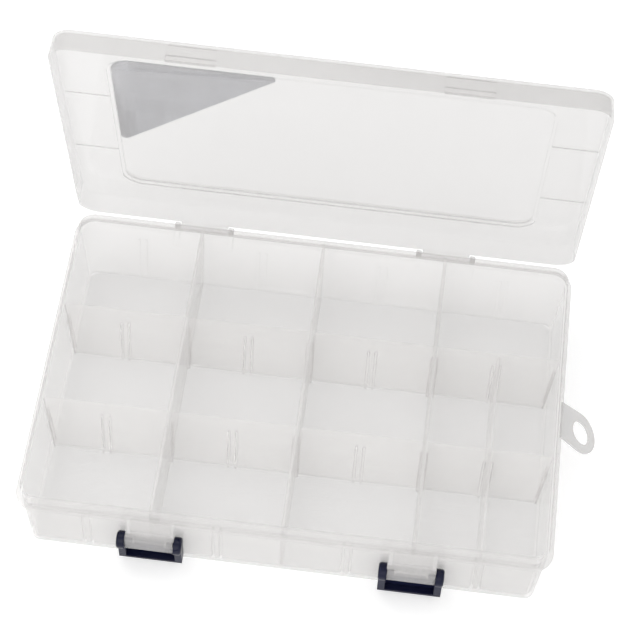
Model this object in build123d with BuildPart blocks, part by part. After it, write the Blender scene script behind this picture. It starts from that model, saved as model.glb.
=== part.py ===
from build123d import *
from math import cos, radians, sin
import os

os.makedirs("parts", exist_ok=True)

# All lengths are in millimetres. The tray stands on Z = 0, centred on the origin.
# X runs along the front, +Y runs back to the hinges.

# Overall size of the flange and of the lid that closes on it
box_length = 205.0
box_depth = 142.0

# Tray shell: four walls that lean outwards to an upright-looking lip
tray_height = 34.7
wall = 1.3
floor_thickness = 1.4
wall_lean = 2.8
lip_radius = 6.5
foot_fillet = 1.0
lip_fillet = 0.35

# Flange round the walls, a little below the lip
flange_width = 1.6
flange_top = 30.3
flange_thickness = 2.1
flange_fillet = 0.5

# Fixed walls that split the tray into lanes, and plates that split the lanes into rows
lane_count = 4
row_count = 3
lane_wall = 1.3
wall_below_lip = 0.8
plate_thickness = 1.2
plate_end_gap = 0.25
plate_foot_gap = 0.1

# Upright ribs in pairs, which hold a plate's edge between them
rib_width = 1.4
rib_crest = 0.5
rib_proud = 1.0
rib_top = 24.5
slot_clearance = 0.2
rib_root = 0.3

# Lid: a shallow shell with a sunk panel in its top
skirt_gap = 0.3
skirt_height = 8.6
skirt_wall = 1.0
lid_thickness = 1.2
lid_lean = 0.6
lid_edge_fillet = 1.6
panel_side_margin = 20.0
panel_front_margin = 19.2
panel_radius = 7.5
panel_sink = 0.8
panel_wall = 1.2
lid_rib_width = 0.5
lid_rib_height = 0.5
lid_open_angle = 75.3

# Printed triangle in the panel's front left corner
label_inset = 0.3
label_length = 64.0
label_depth = 67.5
label_thickness = 0.25
label_radius = 1.9
label_corner_radius = 7.5

# Hinges: bars moulded with the lid turn in ears moulded with the tray
hinge_back = 1.4
hinge_height = 28.6
hinge_group_width = 24.4
hinge_ear_width = 2.2
hinge_ear_foot = 20.5
hinge_ear_radius = 2.0
hinge_bar_radius = 1.1
hinge_bar_clearance = 0.05
hinge_side_clearance = 0.3
hinge_arm_high = 3.4
hinge_pad_thickness = 0.8

# Latch brackets: a nose that hangs from the flange's front edge on a thin tongue
pivot_out = 1.5
pivot_height = 18.2
nose_width = 18.3
nose_front = 2.0
nose_back = 2.5
nose_above = 4.5
nose_below = 3.2
nose_radius = 0.9
tongue_thickness = 1.6
tongue_lean = 1.2
web_thickness = 1.5

# Latches
latch_gap = 0.3
latch_plate = 1.3
latch_depth = 4.1
latch_reach = 15.4
latch_window = 6.8
latch_ear_width = 2.8
latch_boss_width = 0.3
latch_boss_radius = 3.5
latch_lip = 1.5
latch_boss_rounding = 1.1
latch_fillet = 0.5
pin_radius = 1.1
pin_length = 3.0
pin_clearance = 0.05
latch_left_angle = 187.0
latch_right_angle = 183.0

# Catches on the lid's front skirt, one for each latch
catch_width = 18.2
catch_pad = 0.5
catch_proud = 1.9
catch_pad_top = 36.6
catch_below_edge = 1.0
catch_flange_gap = 0.3
hook_clearance = 0.2

# Hang tab on the right side
tab_root_width = 16.3
tab_end_radius = 8.9
tab_end_reach = 10.8
tab_thickness = 1.2
tab_fillet = 0.3
tab_hole_radius = 4.9
tab_hole_reach = 11.3
tab_axis_out = -0.1
tab_axis_height = 27.2
tab_droop_angle = 43.0

# Sizes worked out from those above
lip_length = box_length - 2 * flange_width
lip_depth = box_depth - 2 * flange_width
wall_top = tray_height - wall_below_lip
lane_pitch = (lip_length - 2 * wall + lane_wall) / lane_count
row_pitch = (lip_depth - 2 * wall + plate_thickness) / row_count
group_x = lane_pitch
slot_width = plate_thickness + 2 * slot_clearance
rib_offset = (slot_width + rib_width) / 2
skirt_edge = flange_top + skirt_gap
lid_top = skirt_edge + skirt_height
lid_corner_radius = lip_radius + flange_width
panel_length = box_length - 2 * panel_side_margin
panel_depth = box_depth - 2 * panel_front_margin
panel_floor = lid_top - panel_sink
hinge_y = box_depth / 2 + hinge_back
hinge_bar_half = hinge_group_width / 2
hinge_arm_width = hinge_group_width - 2 * (hinge_ear_width + hinge_side_clearance)
pivot_y = -box_depth / 2 - pivot_out
nose_front_y = pivot_y - nose_front
nose_back_y = pivot_y + nose_back
latch_inner_y = nose_front_y - latch_gap
latch_outer_y = latch_inner_y - latch_plate
latch_rim_y = latch_outer_y + latch_depth
latch_top = pivot_height + latch_reach
catch_top = latch_top - latch_lip - hook_clearance
ear_inner = nose_width / 2 + latch_gap
tab_axis_x = box_length / 2 + tab_axis_out

lane_walls_x = {
    name: (index + 1 - lane_count / 2) * lane_pitch
    for index, name in enumerate(("left", "middle", "right"))
}
rows_y = {"back": row_pitch / 2, "front": -row_pitch / 2}
lane_centres_x = [(index + 0.5 - lane_count / 2) * lane_pitch for index in range(lane_count)]
lid_axis = Axis((0, hinge_y, hinge_height), (1, 0, 0))
pivot_axis = Axis((0, pivot_y, pivot_height), (1, 0, 0))
tab_axis = Axis((tab_axis_x, 0, tab_axis_height), (0, 1, 0))


def lean_at(height):
    """How far a tray wall stands in from the lip at a height."""
    return wall_lean * (1 - height / tray_height)


def tray_block(low, high, inset):
    """A solid with the tray's leaning sides, drawn in from the outer faces by inset."""
    with BuildPart() as block:
        for height in (low, high):
            inward = lean_at(height) + inset
            with BuildSketch(Plane.XY.offset(height)):
                RectangleRounded(
                    lip_length - 2 * inward,
                    lip_depth - 2 * inward,
                    lip_radius - inward,
                )
        loft(ruled=True)
    return block.part


def on_outline(edge):
    """Whether an edge of the flange lies on its outer outline, not where it meets the wall."""
    middle = edge @ 0.5
    wall_half = Vector(lip_length / 2, lip_depth / 2)
    beyond = abs(middle.X) > wall_half.X or abs(middle.Y) > wall_half.Y
    corner = wall_half - Vector(lip_radius, lip_radius)
    reach = Vector(abs(middle.X) - corner.X, abs(middle.Y) - corner.Y)
    return beyond or (min(reach.X, reach.Y) > 0 and reach.length > lip_radius)


def rib_pair(foot, outward, root_depth, lean):
    """Two ribs that narrow outwards, one each side of a slot, leaning back as they rise."""
    rise = rib_top - foot[2]
    half_root = rib_width / 2 + (rib_width - rib_crest) / 2 / rib_proud * root_depth
    with BuildPart() as pair:
        for offset in (-rib_offset, rib_offset):
            with BuildSketch(Plane(foot, x_dir=outward, z_dir=(0, 0, 1))):
                with BuildLine():
                    Polyline(
                        (-root_depth, offset - half_root),
                        (rib_proud, offset - rib_crest / 2),
                        (rib_proud, offset + rib_crest / 2),
                        (-root_depth, offset + half_root),
                        close=True,
                    )
                make_face()
            slant = Vector(0, 0, rise) - Vector(outward) * lean
            extrude(amount=slant.length, dir=slant)
    return pair.part


def save(piece, name):
    """Label a finished piece and write it under its name."""
    piece.part.label = name
    export_step(piece.part, f"parts/{name}.step")


def make_tray():
    """The moulded tray with its flange, ribs, hinge ears and latch brackets."""
    outer = tray_block(0, tray_height, 0)
    cavity = tray_block(floor_thickness, tray_height + 1, wall)
    flange_low = flange_top - flange_thickness
    with BuildPart() as tray:
        add(outer)
        fillet(tray.edges().group_by(Axis.Z)[0], foot_fillet)
        with BuildSketch(Plane.XY.offset(flange_low)):
            RectangleRounded(box_length, box_depth, lid_corner_radius)
        extrude(amount=flange_thickness)
        rims = tray.edges().filter_by_position(Axis.Z, flange_low, flange_low)
        rims += tray.edges().filter_by_position(Axis.Z, flange_top, flange_top)
        fillet([rim for rim in rims if on_outline(rim)], flange_fillet)

        # Hinge ears and the pad between them, at the back
        ear_centre = (hinge_y, hinge_height)
        wall_y = lip_depth / 2 - wall / 2
        for centre in (-group_x, group_x):
            for side in (-1, 1):
                ear_x = centre + side * (hinge_bar_half - hinge_ear_width / 2)
                with BuildSketch(Plane.YZ.offset(ear_x)):
                    with Locations(ear_centre):
                        Circle(hinge_ear_radius)
                    with BuildLine():
                        Polyline(
                            (wall_y - lean_at(hinge_ear_foot), hinge_ear_foot),
                            (hinge_y, hinge_height - hinge_ear_radius),
                            (hinge_y, flange_top),
                            (wall_y, flange_top),
                            close=True,
                        )
                    make_face()
                extrude(amount=hinge_ear_width / 2, both=True)
            pad_low = wall_y - lean_at(hinge_ear_foot)
            pad_high = wall_y - lean_at(flange_low)
            pad_out = wall / 2 + hinge_pad_thickness
            with BuildSketch(Plane.YZ.offset(centre)):
                with BuildLine():
                    Polyline(
                        (pad_low, hinge_ear_foot),
                        (pad_low + pad_out, hinge_ear_foot + hinge_pad_thickness),
                        (pad_high + pad_out, flange_low),
                        (pad_high, flange_low),
                        close=True,
                    )
                make_face()
            extrude(amount=hinge_bar_half, both=True)

        # Latch brackets: tongue, nose and the two webs behind them, at the front
        nose_top = pivot_height + nose_above
        nose_bottom = pivot_height - nose_below
        flange_edge = -box_depth / 2
        tongue_y = flange_edge - tongue_lean
        web_centre = (nose_width - web_thickness) / 2
        for centre in (-group_x, group_x):
            with BuildSketch(Plane.YZ.offset(centre)) as bracket:
                with BuildLine():
                    Polyline(
                        (flange_edge, flange_low + flange_thickness / 2),
                        (tongue_y, nose_top),
                        (nose_front_y, nose_top),
                        (nose_front_y, nose_bottom),
                        (nose_back_y, nose_bottom),
                        (nose_back_y, nose_top - tongue_thickness),
                        (tongue_y + tongue_thickness, nose_top),
                        (flange_edge + tongue_thickness, flange_low + flange_thickness / 2),
                        close=True,
                    )
                make_face()
                front = bracket.vertices().group_by(Axis.X)[0]
                fillet(front, nose_radius)
            extrude(amount=nose_width / 2, both=True)
            for side in (-1, 1):
                with BuildSketch(Plane.YZ.offset(centre + side * web_centre)):
                    with BuildLine():
                        Polyline(
                            (nose_back_y - wall, nose_bottom),
                            (lean_at(nose_bottom) - wall_y, nose_bottom),
                            (lean_at(flange_low) - wall_y, flange_low),
                            (flange_edge + tongue_thickness / 2, flange_low),
                            (nose_back_y - wall, nose_top - tongue_thickness),
                            close=True,
                        )
                    make_face()
                extrude(amount=web_thickness / 2, both=True)

        add(cavity, mode=Mode.SUBTRACT)
        fillet(tray.faces().sort_by(Axis.Z)[-1].edges(), lip_fillet)

        # Holes that the hinge bars and the latch pins turn in
        for centre in (-group_x, group_x):
            with Locations(Pos(centre, hinge_y, hinge_height) * Rot(0, 90, 0)):
                Cylinder(
                    hinge_bar_radius + hinge_bar_clearance,
                    hinge_group_width + 2,
                    mode=Mode.SUBTRACT,
                )
            pin_hole = pin_length + latch_gap
            for side in (-1, 1):
                hole_x = centre + side * (nose_width - pin_hole) / 2
                with Locations(Pos(hole_x, pivot_y, pivot_height) * Rot(0, 90, 0)):
                    Cylinder(pin_radius + pin_clearance, pin_hole, mode=Mode.SUBTRACT)

        # Rib pairs at the middle of each lane, and for the cross plates on the end walls
        foot_z = floor_thickness - rib_root
        lean = lean_at(foot_z) - lean_at(rib_top)
        for side in (-1, 1):
            wall_foot = side * (lip_depth / 2 - wall - lean_at(foot_z))
            for centre in lane_centres_x:
                add(rib_pair((centre, wall_foot, foot_z), (0, -side, 0), rib_root, lean))
            wall_foot = side * (lip_length / 2 - wall - lean_at(foot_z))
            for row in rows_y.values():
                add(rib_pair((wall_foot, row, foot_z), (-side, 0, 0), rib_root, lean))
    save(tray, "tray")


def make_lane_walls():
    """Three fixed walls from front to back, with rib pairs for the cross plates."""
    cavity = tray_block(floor_thickness, wall_top, wall)
    for name, wall_x in lane_walls_x.items():
        with BuildPart() as lane:
            with Locations((wall_x, 0, wall_top / 2)):
                Box(lane_wall, box_depth, wall_top)
            add(cavity, mode=Mode.INTERSECT)
            for row in rows_y.values():
                for side in (-1, 1):
                    face = (wall_x + side * lane_wall / 2, row, floor_thickness)
                    add(rib_pair(face, (side, 0, 0), rib_root, 0))
        save(lane, f"lane_wall_{name}")


def make_cross_plates():
    """Loose plates across each lane, with a rib pair on both faces for a split plate."""
    foot = floor_thickness + plate_foot_gap
    end = wall + plate_end_gap
    cavity = tray_block(foot, wall_top, end)
    across = lane_pitch - lane_wall - 2 * plate_end_gap
    for row_name, row in rows_y.items():
        for index, centre in enumerate(lane_centres_x):
            outward = 0
            if index in (0, lane_count - 1):
                outward = plate_end_gap if index else -plate_end_gap
            with BuildPart() as plate:
                with Locations((centre + outward, row, (foot + wall_top) / 2)):
                    Box(across + 2 * abs(outward), plate_thickness, wall_top - foot)
                add(cavity, mode=Mode.INTERSECT)
                for side in (-1, 1):
                    face = (centre, row + side * plate_thickness / 2, foot)
                    add(rib_pair(face, (0, side, 0), rib_root, 0))
            save(plate, f"cross_plate_{row_name}_{index + 1}")


def make_split_plates():
    """Two small loose plates that halve the middle and front boxes of the right lane."""
    foot = floor_thickness + plate_foot_gap
    centre = lane_centres_x[-1]
    cavity = tray_block(foot, wall_top, wall + plate_end_gap)
    middle_low = rows_y["front"] + plate_thickness / 2 + plate_end_gap
    middle_high = rows_y["back"] - plate_thickness / 2 - plate_end_gap
    front_high = rows_y["front"] - plate_thickness / 2 - plate_end_gap
    spans = {"middle": (middle_low, middle_high), "front": (-box_depth / 2, front_high)}
    for name, (low, high) in spans.items():
        with BuildPart() as plate:
            with Locations((centre, (low + high) / 2, (foot + wall_top) / 2)):
                Box(plate_thickness, high - low, wall_top - foot)
            add(cavity, mode=Mode.INTERSECT)
        save(plate, f"split_plate_{name}")


def make_lid():
    """The moulded lid, drawn closed and then turned open about its hinge bars."""
    with BuildPart() as closed:
        for height, inset in ((skirt_edge, 0), (lid_top, lid_lean)):
            with BuildSketch(Plane.XY.offset(height)):
                RectangleRounded(
                    box_length - 2 * inset,
                    box_depth - 2 * inset,
                    lid_corner_radius - inset,
                )
        loft(ruled=True)
        fillet(closed.edges().group_by(Axis.Z)[-1], lid_edge_fillet)
        ceiling = lid_top - lid_thickness
        for height, inset in ((skirt_edge, skirt_wall), (ceiling, skirt_wall + lid_lean)):
            with BuildSketch(Plane.XY.offset(height)):
                RectangleRounded(
                    box_length - 2 * inset,
                    box_depth - 2 * inset,
                    lid_corner_radius - inset,
                )
        loft(ruled=True, mode=Mode.SUBTRACT)

        # The sunk panel: a boss under the ceiling, then a pocket in the top
        with BuildSketch(Plane.XY.offset(ceiling - panel_sink)):
            RectangleRounded(
                panel_length + 2 * panel_wall,
                panel_depth + 2 * panel_wall,
                panel_radius + panel_wall,
            )
        extrude(amount=panel_sink + lid_thickness / 2)
        with BuildSketch(Plane.XY.offset(panel_floor)):
            RectangleRounded(panel_length, panel_depth, panel_radius)
        extrude(amount=panel_sink, mode=Mode.SUBTRACT)

        # Low ribs from the panel out to the side skirts, in line with the cross plates
        rib_start = panel_length / 2
        rib_end = box_length / 2 - skirt_wall
        for row in rows_y.values():
            for side in (-1, 1):
                middle = side * (rib_start + rib_end) / 2
                with Locations((middle, row, ceiling - lid_rib_height / 2 + rib_root / 2)):
                    Box(rib_end - rib_start, lid_rib_width, lid_rib_height + rib_root)

        # Hinge bars with the arms that carry them, at the back
        for centre in (-group_x, group_x):
            with Locations(Pos(centre, hinge_y, hinge_height) * Rot(0, 90, 0)):
                Cylinder(hinge_bar_radius, hinge_group_width)
            with BuildSketch(Plane.YZ.offset(centre)):
                with BuildLine():
                    Polyline(
                        (hinge_y - hinge_bar_radius, hinge_height),
                        (hinge_y - hinge_bar_radius, skirt_edge),
                        (box_depth / 2 - skirt_wall / 2, skirt_edge),
                        (box_depth / 2 - skirt_wall / 2, skirt_edge + hinge_arm_high),
                        (box_depth / 2 - lid_lean / 2, skirt_edge + hinge_arm_high),
                        (hinge_y + hinge_bar_radius, hinge_height),
                        close=True,
                    )
                make_face()
            extrude(amount=hinge_arm_width / 2, both=True)

        # Catches for the latches, at the front
        front = -box_depth / 2
        catch_low = skirt_edge - catch_below_edge
        for centre in (-group_x, group_x):
            with BuildSketch(Plane.YZ.offset(centre)):
                with BuildLine():
                    Polyline(
                        (front + skirt_wall / 2, skirt_edge),
                        (front - catch_flange_gap, skirt_edge),
                        (front - catch_flange_gap, catch_low),
                        (front - catch_proud + catch_pad, catch_low),
                        (front - catch_proud, skirt_edge),
                        (front - catch_proud, catch_top),
                        (front - catch_pad, catch_top),
                        (front - catch_pad, catch_pad_top),
                        (front + lid_lean, catch_pad_top),
                        close=True,
                    )
                make_face()
            extrude(amount=catch_width / 2, both=True)
    with BuildPart() as lid:
        add(closed.part.rotate(lid_axis, -lid_open_angle))
    save(lid, "lid")


def make_lid_label():
    """A bare silver-grey triangle on the sunk panel, turned open with the lid."""
    corner_x = label_inset - panel_length / 2
    corner_y = label_inset - panel_depth / 2
    with BuildPart() as flat:
        with BuildSketch(Plane.XY.offset(panel_floor)) as outline:
            with BuildLine():
                Polyline(
                    (corner_x, corner_y),
                    (corner_x + label_length, corner_y),
                    (corner_x, corner_y + label_depth),
                    close=True,
                )
            make_face()
            corner = outline.vertices().sort_by_distance((corner_x, corner_y, panel_floor))[0]
            fillet(corner, label_corner_radius)
            tips = outline.vertices().group_by(Axis.X)[-1] + outline.vertices().group_by(Axis.Y)[-1]
            fillet(tips, label_radius)
        extrude(amount=label_thickness)
    with BuildPart() as label:
        add(flat.part.rotate(lid_axis, -lid_open_angle))
    save(label, "lid_label")


def latch_boss(centre, side):
    """The round boss of one ear at the pivot, with its outer rim rounded off."""
    with BuildPart() as boss:
        with BuildSketch(Plane.YZ.offset(centre + side * ear_inner)):
            with Locations((pivot_y, pivot_height)):
                Circle(latch_boss_radius)
        extrude(amount=side * (latch_ear_width + latch_boss_width))
        outer_face = boss.faces().sort_by(Axis.X)[-1 if side > 0 else 0]
        fillet(outer_face.edges(), latch_boss_rounding)
    return boss.part


def make_latches():
    """Two latches, drawn closed and then turned down to where they hang."""
    latches = {"left": (-group_x, latch_left_angle), "right": (group_x, latch_right_angle)}
    for name, (centre, angle) in latches.items():
        ear_outer = ear_inner + latch_ear_width
        with BuildPart() as closed:
            # Side ears, each with a round boss at the pivot and a pin inside
            for side in (-1, 1):
                with BuildSketch(Plane.YZ.offset(centre + side * ear_inner)):
                    with BuildLine():
                        Polyline(
                            (latch_outer_y, pivot_height),
                            (latch_rim_y, pivot_height),
                            (latch_rim_y, latch_top),
                            (latch_outer_y, latch_top),
                            close=True,
                        )
                    make_face()
                extrude(amount=side * latch_ear_width)
                add(latch_boss(centre, side))
                with BuildSketch(Plane.YZ.offset(centre + side * ear_inner)):
                    with Locations((pivot_y, pivot_height)):
                        Circle(pin_radius)
                extrude(amount=-side * pin_length)

            # Plate across the ears, and the lip that hooks over the catch
            plate_low = pivot_height + latch_window
            plate_y = (latch_outer_y + latch_inner_y) / 2
            with Locations((centre, plate_y, (plate_low + latch_top) / 2)):
                Box(2 * ear_outer, latch_plate, latch_top - plate_low)
            lip_y = (latch_outer_y + latch_rim_y) / 2
            with Locations((centre, lip_y, latch_top - latch_lip / 2)):
                Box(2 * ear_outer, latch_depth, latch_lip)
            top = closed.faces().sort_by(Axis.Z)[-1]
            fillet(top.edges(), latch_fillet)
        with BuildPart() as latch:
            add(closed.part.rotate(pivot_axis, angle))
        save(latch, f"latch_{name}")


def make_hang_tab():
    """A flat tab with a round end and a hanging hole, drawn level and then drooped."""
    with BuildPart() as level:
        with BuildSketch(Plane.XY.offset(tab_axis_height)):
            with Locations((tab_axis_x + tab_thickness / 2, 0)):
                Rectangle(tab_thickness, tab_root_width)
            with Locations((tab_axis_x + tab_end_reach, 0)):
                Circle(tab_end_radius)
            make_hull()
            with Locations((tab_axis_x + tab_hole_reach, 0)):
                Circle(tab_hole_radius, mode=Mode.SUBTRACT)
        extrude(amount=tab_thickness / 2, both=True)
        rims = level.edges().group_by(Axis.Z)
        fillet([rim for rim in rims[0] + rims[-1] if (rim @ 0.5).X > tab_axis_x + tab_thickness], tab_fillet)
        with Locations(Pos(tab_axis_x, 0, tab_axis_height) * Rot(90, 0, 0)):
            Cylinder(tab_thickness / 2, tab_root_width)
    with BuildPart() as tab:
        add(level.part.rotate(tab_axis, tab_droop_angle))
    save(tab, "hang_tab")
    droop = radians(tab_droop_angle)
    hole = tab_hole_reach * cos(droop), tab_hole_reach * sin(droop)
    print("tab hole centre", tab_axis_x + hole[0], 0, tab_axis_height - hole[1])


make_tray()
make_lane_walls()
make_cross_plates()
make_split_plates()
make_lid()
make_lid_label()
make_latches()
make_hang_tab()
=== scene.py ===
"""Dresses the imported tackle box: clear moulded plastic, navy latches and a silver print."""

from math import cos, radians, sin

import bpy
from bpy.props import FloatProperty, FloatVectorProperty, PointerProperty
from mathutils import Matrix, Vector


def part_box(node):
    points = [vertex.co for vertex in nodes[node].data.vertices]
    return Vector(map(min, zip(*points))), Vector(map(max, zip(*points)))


bl_info = {
    "name": "Tackle Box Finish",
    "version": (1, 0, 0),
    "blender": (4, 5, 0),
    "location": "3D View > Sidebar > Tackle Box",
    "description": "Gives the parts of a clear tackle box their plastic, print and studio",
    "category": "Object",
}

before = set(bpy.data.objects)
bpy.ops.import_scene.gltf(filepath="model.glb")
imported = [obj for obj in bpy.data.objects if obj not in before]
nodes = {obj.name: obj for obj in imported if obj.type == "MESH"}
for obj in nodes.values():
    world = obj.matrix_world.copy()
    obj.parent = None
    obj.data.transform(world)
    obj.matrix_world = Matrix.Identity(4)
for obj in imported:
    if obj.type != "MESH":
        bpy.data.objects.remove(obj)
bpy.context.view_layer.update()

LANE_WALLS = [name for name in nodes if name.startswith("lane_wall_")]
PLATES = [name for name in nodes if name.startswith(("cross_plate_", "split_plate_"))]
LATCHES = [name for name in nodes if name.startswith("latch_")]

WHITE = (1, 1, 1, 1)
SENSOR_WIDTH = 36

FLOOR_SIZE = 8
FLOOR_COLOUR = (0.77, 0.77, 0.77)
FLOOR_ROUGHNESS = 0.9

KEY_LAMP_PLACE = (-0.35, -1.05, 0.75)
KEY_LAMP_SIZE = 1.0
TOP_LAMP_PLACE = (-0.5, 0.3, 1.2)
TOP_LAMP_SIZE = 0.8

# Clear plastic in layers needs many bounces, or its inner layers go dark.
LIGHT_BOUNCES = 48
TRANSPARENT_BOUNCES = 32


# Settings


class ClearPlasticSettings(bpy.types.PropertyGroup):
    tray_tint: FloatVectorProperty(
        name="Tray tint",
        description="Colour of the tray's plastic",
        subtype="COLOR",
        default=(0.860, 0.850, 0.843),
        min=0,
        max=1,
    )
    tray_clearness: FloatProperty(
        name="Tray clearness",
        description="Share of the light that goes straight through the tray's plastic",
        subtype="FACTOR",
        default=0.56,
        min=0,
        max=1,
    )
    # The lid's tint is darker than the tray's partly as painted shade, which offsets the lamps'
    # light on the open lid.
    lid_tint_and_painted_shade: FloatVectorProperty(
        name="Lid tint",
        description="Colour of the lid's plastic",
        subtype="COLOR",
        default=(0.740, 0.730, 0.723),
        min=0,
        max=1,
    )
    lid_clearness: FloatProperty(
        name="Lid clearness",
        description="Share of the light that goes straight through the lid's plastic",
        subtype="FACTOR",
        default=0.7,
        min=0,
        max=1,
    )
    # The plates' tint is lighter than the tray's partly as painted light, which offsets the shade
    # inside the compartments.
    plate_tint_and_painted_light: FloatVectorProperty(
        name="Plate tint",
        description="Colour of the loose plates' plastic",
        subtype="COLOR",
        default=(1.000, 0.990, 0.983),
        min=0,
        max=1,
    )
    plate_clearness: FloatProperty(
        name="Plate clearness",
        description="Share of the light that goes straight through the loose plates",
        subtype="FACTOR",
        default=0.7,
        min=0,
        max=1,
    )
    # The lane walls' tint is lighter than the tray's partly as painted light, which offsets the
    # shade between the walls.
    wall_tint_and_painted_light: FloatVectorProperty(
        name="Lane wall tint",
        description="Colour of the lane walls' plastic",
        subtype="COLOR",
        default=(0.984, 0.974, 0.967),
        min=0,
        max=1,
    )
    wall_clearness: FloatProperty(
        name="Lane wall clearness",
        description="Share of the light that goes straight through the lane walls",
        subtype="FACTOR",
        default=0.6,
        min=0,
        max=1,
    )
    tab_tint: FloatVectorProperty(
        name="Tab tint",
        description="Colour of the hang tab's plastic",
        subtype="COLOR",
        default=(0.740, 0.730, 0.723),
        min=0,
        max=1,
    )
    tab_clearness: FloatProperty(
        name="Tab clearness",
        description="Share of the light that goes straight through the hang tab",
        subtype="FACTOR",
        default=0.3,
        min=0,
        max=1,
    )
    substance: FloatProperty(
        name="Substance",
        description="Share of each surface that is plastic, where the rest passes light untouched",
        subtype="FACTOR",
        default=0.62,
        min=0,
        max=1,
    )
    roughness: FloatProperty(
        name="Roughness",
        description="How blurred things look through the plastic",
        subtype="FACTOR",
        default=0.09,
        min=0,
        max=1,
    )
    bending: FloatProperty(
        name="Index of refraction",
        description="How strongly the plastic bends light",
        default=1.07,
        min=1,
        max=2,
    )
    gloss: FloatProperty(
        name="Gloss",
        description="Strength of the thin glossy coat over the plastic",
        subtype="FACTOR",
        default=0.35,
        min=0,
        max=1,
    )
    gloss_roughness: FloatProperty(
        name="Gloss roughness",
        description="How blurred the reflections in the glossy coat are",
        subtype="FACTOR",
        default=0.06,
        min=0,
        max=1,
    )


class LatchSettings(bpy.types.PropertyGroup):
    colour: FloatVectorProperty(
        name="Colour",
        description="Colour of the latches",
        subtype="COLOR",
        default=(0.006, 0.008, 0.032),
        min=0,
        max=1,
    )
    reflection: FloatProperty(
        name="Reflection",
        description="How much light the latches reflect, where 0.5 is common plastic",
        subtype="FACTOR",
        default=0.25,
        min=0,
        max=1,
    )


class LabelSettings(bpy.types.PropertyGroup):
    colour: FloatVectorProperty(
        name="Outer colour",
        description="Colour of the print from outside the lid",
        subtype="COLOR",
        default=(0.42, 0.43, 0.45),
        min=0,
        max=1,
    )
    inner_colour: FloatVectorProperty(
        name="Inner colour",
        description="Colour of the print's back, which shows through the lid from inside",
        subtype="COLOR",
        default=(0.92, 0.93, 0.97),
        min=0,
        max=1,
    )
    metal: FloatProperty(
        name="Metal",
        description="Share of the print that shines like metal",
        subtype="FACTOR",
        default=0.2,
        min=0,
        max=1,
    )


class StageSettings(bpy.types.PropertyGroup):
    azimuth: FloatProperty(
        name="Azimuth",
        description="Camera's turn to the right of the front",
        subtype="ANGLE",
        default=radians(3.5),
    )
    elevation: FloatProperty(
        name="Elevation",
        description="Camera's height angle",
        subtype="ANGLE",
        default=radians(53.8),
    )
    roll: FloatProperty(
        name="Roll",
        description="Camera's tilt in its own picture",
        subtype="ANGLE",
        default=radians(3.9),
    )
    distance: FloatProperty(
        name="Distance",
        description="Camera's distance from the point that it looks at",
        subtype="DISTANCE",
        default=0.972,
    )
    lens: FloatProperty(
        name="Lens",
        description="Focal length in millimetres on a 36 mm wide sensor",
        default=130.7,
    )
    look_at: FloatVectorProperty(
        name="Look at",
        description="Point in the middle of the picture",
        subtype="TRANSLATION",
        default=(0.00127, 0.05445, 0.0),
    )
    surround: FloatProperty(
        name="Surround light",
        description="Strength of the even white light from all round",
        default=0.71,
        min=0,
    )
    table_glow: FloatProperty(
        name="Table glow",
        description="Light that the pale table gives off by itself, as a light table does",
        default=0.43,
        min=0,
    )
    key_power: FloatProperty(
        name="Key lamp",
        description="Power of the soft lamp on the camera's side",
        subtype="POWER",
        default=4.25,
        min=0,
    )
    top_power: FloatProperty(
        name="Top lamp",
        description="Power of the soft lamp above the box",
        subtype="POWER",
        default=3.6,
        min=0,
    )


# Materials


def link(tree, source, target):
    tree.links.new(source, target)


def number_socket(group, name, in_out, value=0.0):
    socket = group.interface.new_socket(name, in_out=in_out, socket_type="NodeSocketFloat")
    socket.default_value = value


def flow_group():
    """The flow of moulded plastic: a soft mottle, drawn out along the box, and a fine grain.

    Value is the mottle between Low and High, for a roughness. Both scales count spots in a metre.
    """
    group = bpy.data.node_groups.get("Moulding flow")
    if group:
        return group
    group = bpy.data.node_groups.new("Moulding flow", "ShaderNodeTree")
    number_socket(group, "Mottle scale", "INPUT", 45.0)
    number_socket(group, "Grain scale", "INPUT", 900.0)
    number_socket(group, "Low", "INPUT", 0.0)
    number_socket(group, "High", "INPUT", 1.0)
    for name in ("Value", "Mottle", "Grain"):
        number_socket(group, name, "OUTPUT")
    inside = group.nodes.new("NodeGroupInput")
    outside = group.nodes.new("NodeGroupOutput")
    place = group.nodes.new("ShaderNodeTexCoord")
    stretch = group.nodes.new("ShaderNodeMapping")
    stretch.inputs["Scale"].default_value = (0.35, 1.0, 1.0)
    mottle = group.nodes.new("ShaderNodeTexNoise")
    mottle.inputs["Detail"].default_value = 4
    mottle.inputs["Distortion"].default_value = 0.6
    sharpen = group.nodes.new("ShaderNodeMapRange")
    sharpen.inputs["From Min"].default_value = 0.3
    sharpen.inputs["From Max"].default_value = 0.7
    spread = group.nodes.new("ShaderNodeMapRange")
    grain = group.nodes.new("ShaderNodeTexNoise")
    grain.inputs["Detail"].default_value = 2
    link(group, place.outputs["Object"], stretch.inputs["Vector"])
    link(group, stretch.outputs["Vector"], mottle.inputs["Vector"])
    link(group, inside.outputs["Mottle scale"], mottle.inputs["Scale"])
    link(group, mottle.outputs["Fac"], sharpen.inputs["Value"])
    link(group, sharpen.outputs["Result"], spread.inputs["Value"])
    link(group, inside.outputs["Low"], spread.inputs["To Min"])
    link(group, inside.outputs["High"], spread.inputs["To Max"])
    link(group, place.outputs["Object"], grain.inputs["Vector"])
    link(group, inside.outputs["Grain scale"], grain.inputs["Scale"])
    link(group, spread.outputs["Result"], outside.inputs["Value"])
    link(group, sharpen.outputs["Result"], outside.inputs["Mottle"])
    link(group, grain.outputs["Fac"], outside.inputs["Grain"])
    return group


def plain_material(name, colour):
    """A new material in one colour, and its Principled shader."""
    material = bpy.data.materials.new(name)
    material.use_nodes = True
    shader = material.node_tree.nodes["Principled BSDF"]
    shader.inputs["Base Color"].default_value = (*colour, 1)
    return material, shader


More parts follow.
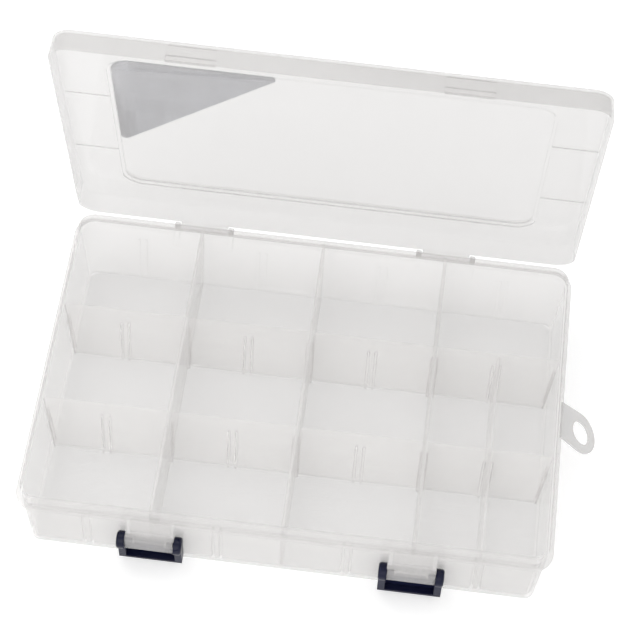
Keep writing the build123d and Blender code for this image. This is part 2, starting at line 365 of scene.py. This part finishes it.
def moulded(material, shader, colour, darker, low, high, grain_depth, grain_scale=900):
    """Give a material the flow's mottle in colour and roughness, and its grain as a bump.

    The mottle runs from the colour times darker to the colour, and the roughness from low to high.
    """
    tree = material.node_tree
    flow = tree.nodes.new("ShaderNodeGroup")
    flow.node_tree = flow_group()
    flow.inputs["Low"].default_value = low
    flow.inputs["High"].default_value = high
    flow.inputs["Grain scale"].default_value = grain_scale
    blend = tree.nodes.new("ShaderNodeMix")
    blend.data_type = "RGBA"
    factor, first, second = blend.inputs[0], blend.inputs[6], blend.inputs[7]
    first.default_value = (*(part * darker for part in colour), 1)
    second.default_value = (*colour, 1)
    bump = tree.nodes.new("ShaderNodeBump")
    bump.inputs["Strength"].default_value = 0.1
    bump.inputs["Distance"].default_value = grain_depth
    link(tree, flow.outputs["Mottle"], factor)
    link(tree, blend.outputs[2], shader.inputs["Base Color"])
    link(tree, flow.outputs["Value"], shader.inputs["Roughness"])
    link(tree, flow.outputs["Grain"], bump.inputs["Height"])
    link(tree, bump.outputs["Normal"], shader.inputs["Normal"])


def clear_plastic(name, tint, clearness):
    """Clear plastic: partly see-through and partly milky, with a thin glossy coat."""
    settings = bpy.context.scene.clear_plastic
    material, shader = plain_material(name, tint)
    shader.inputs["Transmission Weight"].default_value = clearness
    shader.inputs["IOR"].default_value = settings.bending
    shader.inputs["Alpha"].default_value = settings.substance
    shader.inputs["Coat Weight"].default_value = settings.gloss
    shader.inputs["Coat Roughness"].default_value = settings.gloss_roughness
    moulded(
        material,
        shader,
        tint,
        darker=0.985,
        low=settings.roughness * 0.75,
        high=settings.roughness * 1.3,
        grain_depth=0.0001,
    )
    return material


def dress(names, material):
    """Give the named CAD nodes a material."""
    for name in names:
        for slot in nodes[name].material_slots:
            slot.material = material


# Pieces


class BOX_OT_tray(bpy.types.Operator):
    """Give the tray and its lane walls their clear plastic"""

    bl_idname = "tackle_box.tray"
    bl_label = "Tray and lane walls"

    def execute(self, context):
        settings = context.scene.clear_plastic
        plastic = clear_plastic("Tray plastic", settings.tray_tint, settings.tray_clearness)
        dress(["tray"], plastic)
        plastic = clear_plastic("Lane wall plastic", settings.wall_tint_and_painted_light, settings.wall_clearness)
        dress(LANE_WALLS, plastic)
        return {"FINISHED"}


class BOX_OT_plates(bpy.types.Operator):
    """Give the loose plates their clear plastic"""

    bl_idname = "tackle_box.plates"
    bl_label = "Loose plates"

    def execute(self, context):
        settings = context.scene.clear_plastic
        plastic = clear_plastic("Plate plastic", settings.plate_tint_and_painted_light, settings.plate_clearness)
        dress(PLATES, plastic)
        return {"FINISHED"}


class BOX_OT_lid(bpy.types.Operator):
    """Give the lid its clear plastic"""

    bl_idname = "tackle_box.lid"
    bl_label = "Lid"

    def execute(self, context):
        settings = context.scene.clear_plastic
        plastic = clear_plastic("Lid plastic", settings.lid_tint_and_painted_shade, settings.lid_clearness)
        dress(["lid"], plastic)
        return {"FINISHED"}


class BOX_OT_tab(bpy.types.Operator):
    """Give the hang tab its milkier plastic"""

    bl_idname = "tackle_box.tab"
    bl_label = "Hang tab"

    def execute(self, context):
        settings = context.scene.clear_plastic
        plastic = clear_plastic("Tab plastic", settings.tab_tint, settings.tab_clearness)
        dress(["hang_tab"], plastic)
        return {"FINISHED"}


class BOX_OT_label(bpy.types.Operator):
    """Give the bare print on the lid its silver grey and its pale back"""

    bl_idname = "tackle_box.label"
    bl_label = "Silver print"

    def execute(self, context):
        settings = context.scene.silver_print
        material, shader = plain_material("Silver print", settings.colour)
        shader.inputs["Metallic"].default_value = settings.metal
        # The print's colour runs darker in patches as a painted sheen; its roughness mottle gives
        # real sheen.
        moulded(
            material,
            shader,
            settings.colour,
            darker=0.9,
            low=0.34,
            high=0.5,
            grain_depth=0.00005,
            grain_scale=2500,
        )
        self.back_with(material, shader, settings.inner_colour)
        dress(["lid_label"], material)
        return {"FINISHED"}

    def back_with(self, material, shader, colour):
        """Give the side that lies on the lid its own colour, told by the surface's direction."""
        # The open lid leans over the tray, so the print's outer side faces backwards and up.
        low, high = (Vector(corner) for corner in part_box("lid_label"))
        run = (high - low).yz.normalized()
        tree = material.node_tree
        place = tree.nodes.new("ShaderNodeTexCoord")
        facing = tree.nodes.new("ShaderNodeVectorMath")
        facing.operation = "DOT_PRODUCT"
        facing.inputs[1].default_value = (0, run.y, run.x)
        outward = tree.nodes.new("ShaderNodeMath")
        outward.operation = "GREATER_THAN"
        outward.inputs[1].default_value = 0
        sides = tree.nodes.new("ShaderNodeMix")
        sides.data_type = "RGBA"
        factor, inner, outer = sides.inputs[0], sides.inputs[6], sides.inputs[7]
        inner.default_value = (*colour, 1)
        link(tree, shader.inputs["Base Color"].links[0].from_socket, outer)
        link(tree, place.outputs["Normal"], facing.inputs[0])
        link(tree, facing.outputs["Value"], outward.inputs[0])
        link(tree, outward.outputs["Value"], factor)
        link(tree, sides.outputs[2], shader.inputs["Base Color"])


class BOX_OT_latches(bpy.types.Operator):
    """Give the latches their glossy navy plastic"""

    bl_idname = "tackle_box.latches"
    bl_label = "Latches"

    def execute(self, context):
        settings = context.scene.latches
        material, shader = plain_material("Navy latch plastic", settings.colour)
        shader.inputs["Specular IOR Level"].default_value = settings.reflection
        moulded(
            material,
            shader,
            settings.colour,
            darker=0.7,
            low=0.22,
            high=0.38,
            grain_depth=0.0001,
            grain_scale=1400,
        )
        dress(LATCHES, material)
        return {"FINISHED"}


class BOX_OT_stage(bpy.types.Operator):
    """Set the pale table, the soft light and the camera"""

    bl_idname = "tackle_box.stage"
    bl_label = "Stage"

    def lay_floor(self, stage):
        """Lay the pale table, which gives off a little light."""
        bpy.ops.mesh.primitive_plane_add(size=FLOOR_SIZE)
        floor = bpy.context.object
        floor.name = "floor"
        material, shader = plain_material("Floor white", FLOOR_COLOUR)
        shader.inputs["Roughness"].default_value = FLOOR_ROUGHNESS
        shader.inputs["Emission Color"].default_value = WHITE
        shader.inputs["Emission Strength"].default_value = stage.table_glow
        floor.data.materials.append(material)

    def add_surround(self, strength):
        """Add even white light from all round."""
        world = bpy.data.worlds.new("Studio")
        world.use_nodes = True
        background = world.node_tree.nodes["Background"]
        background.inputs["Color"].default_value = WHITE
        background.inputs["Strength"].default_value = strength
        bpy.context.scene.world = world

    def add_lamp(self, name, place, size, power):
        """Add a square soft lamp that shines at the box."""
        bpy.ops.object.light_add(type="AREA", location=place)
        lamp = bpy.context.object
        lamp.name = name
        lamp.data.size = size
        lamp.data.energy = power
        lamp.rotation_euler = (-lamp.location).to_track_quat("-Z", "Y").to_euler()

    def add_camera(self, stage):
        """Add the photo's camera, aimed at the middle of the picture and rolled."""
        back = Vector(
            (
                sin(stage.azimuth) * cos(stage.elevation),
                -cos(stage.azimuth) * cos(stage.elevation),
                sin(stage.elevation),
            )
        )
        spot = Vector(stage.look_at) + back * stage.distance
        right = (-back).cross(Vector((0, 0, 1))).normalized()
        up = back.cross(right)
        tilted_right = right * cos(stage.roll) + up * sin(stage.roll)
        tilted_up = up * cos(stage.roll) - right * sin(stage.roll)
        bpy.ops.object.camera_add(location=spot)
        camera = bpy.context.object
        camera.name = "photo_camera"
        turn = Matrix((tilted_right, tilted_up, back)).transposed()
        camera.rotation_euler = turn.to_euler()
        camera.data.sensor_width = SENSOR_WIDTH
        camera.data.lens = stage.lens
        bpy.context.scene.camera = camera

    def execute(self, context):
        stage = context.scene.stage
        self.lay_floor(stage)
        self.add_surround(stage.surround)
        self.add_lamp("key_lamp", KEY_LAMP_PLACE, KEY_LAMP_SIZE, stage.key_power)
        self.add_lamp("top_lamp", TOP_LAMP_PLACE, TOP_LAMP_SIZE, stage.top_power)
        self.add_camera(stage)

        context.scene.view_settings.view_transform = "Standard"
        cycles = context.scene.cycles
        cycles.max_bounces = LIGHT_BOUNCES
        cycles.diffuse_bounces = LIGHT_BOUNCES
        cycles.glossy_bounces = LIGHT_BOUNCES
        cycles.transmission_bounces = LIGHT_BOUNCES
        cycles.transparent_max_bounces = TRANSPARENT_BOUNCES
        return {"FINISHED"}


class BOX_PT_panel(bpy.types.Panel):
    """Lists the steps in the order that they run"""

    bl_label = "Tackle Box"
    bl_idname = "BOX_PT_panel"
    bl_space_type = "VIEW_3D"
    bl_region_type = "UI"
    bl_category = "Tackle Box"

    def draw(self, context):
        for step in STEPS:
            self.layout.operator(step.bl_idname)


STEPS = (
    BOX_OT_tray,
    BOX_OT_plates,
    BOX_OT_lid,
    BOX_OT_label,
    BOX_OT_latches,
    BOX_OT_tab,
    BOX_OT_stage,
)
SETTINGS = {
    "clear_plastic": ClearPlasticSettings,
    "latches": LatchSettings,
    "silver_print": LabelSettings,
    "stage": StageSettings,
}


def register():
    for name, group in SETTINGS.items():
        bpy.utils.register_class(group)
        setattr(bpy.types.Scene, name, PointerProperty(type=group))
    for step in (*STEPS, BOX_PT_panel):
        bpy.utils.register_class(step)


def unregister():
    for step in (*STEPS, BOX_PT_panel):
        bpy.utils.unregister_class(step)
    for name, group in SETTINGS.items():
        delattr(bpy.types.Scene, name)
        bpy.utils.unregister_class(group)


def main():
    register()
    bpy.ops.object.select_all(action="DESELECT")
    bpy.ops.tackle_box.tray()
    bpy.ops.tackle_box.plates()
    bpy.ops.tackle_box.lid()
    bpy.ops.tackle_box.label()
    bpy.ops.tackle_box.latches()
    bpy.ops.tackle_box.tab()
    bpy.ops.tackle_box.stage()


if __name__ == "__main__":
    main()
